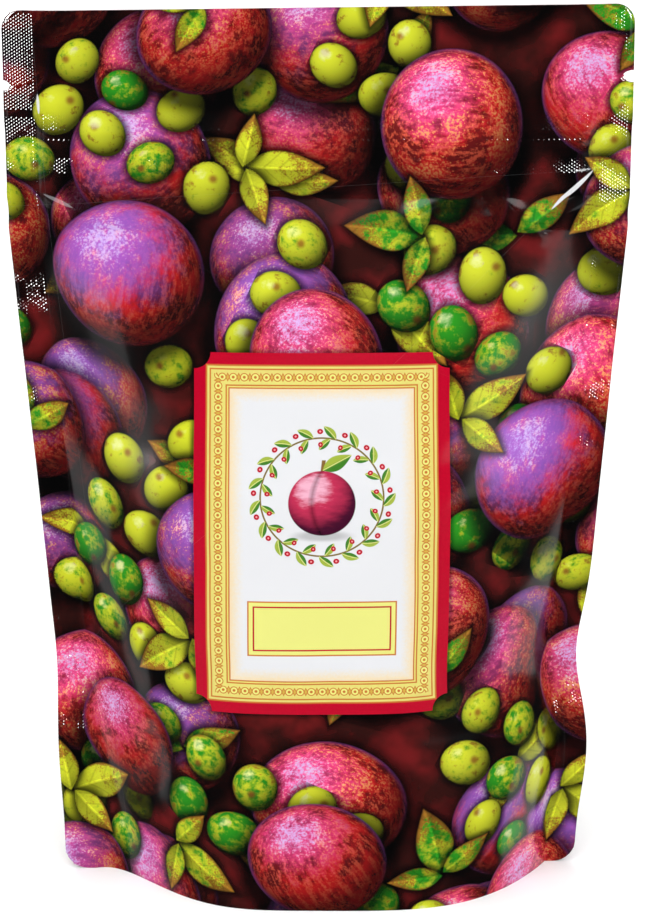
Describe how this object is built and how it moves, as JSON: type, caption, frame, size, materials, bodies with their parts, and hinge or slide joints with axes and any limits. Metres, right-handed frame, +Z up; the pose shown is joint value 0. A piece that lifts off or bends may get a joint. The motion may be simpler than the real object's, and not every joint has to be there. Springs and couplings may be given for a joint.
{
  "type": "stand-up pouch",
  "caption": "Sealed stand-up pouch of dried fruit: two printed film panels on a bottom gusset, with a press-to-close zip inside, side tear notches and a heap of dried segments.",
  "frame": {"origin": "middle of the base, on the surface the pouch stands on", "axes": "+Z up the pouch towards its top seal, -Y the way the front panel faces, +X along the zip to the viewer's right"},
  "size_m": [0.16, 0.0692, 0.2357],
  "materials": {
    "printed_film": "glossy printed laminate, dark plum with purple fruit and yellow-green leaves",
    "gusset_film": "glossy laminate, plain dark plum",
    "zip_plastic": "milky translucent polyethylene",
    "dried_fruit": "dry, porous and chalky cream"
  },
  "bodies": {
    "root": {"front_panel": "printed_film", "back_panel": "printed_film", "bottom_gusset": "gusset_film", "zip_rib_strip": "zip_plastic", "zip_channel_strip": "zip_plastic", "dried_fruit_heap": "dried_fruit"}
  },
  "joints": []
}
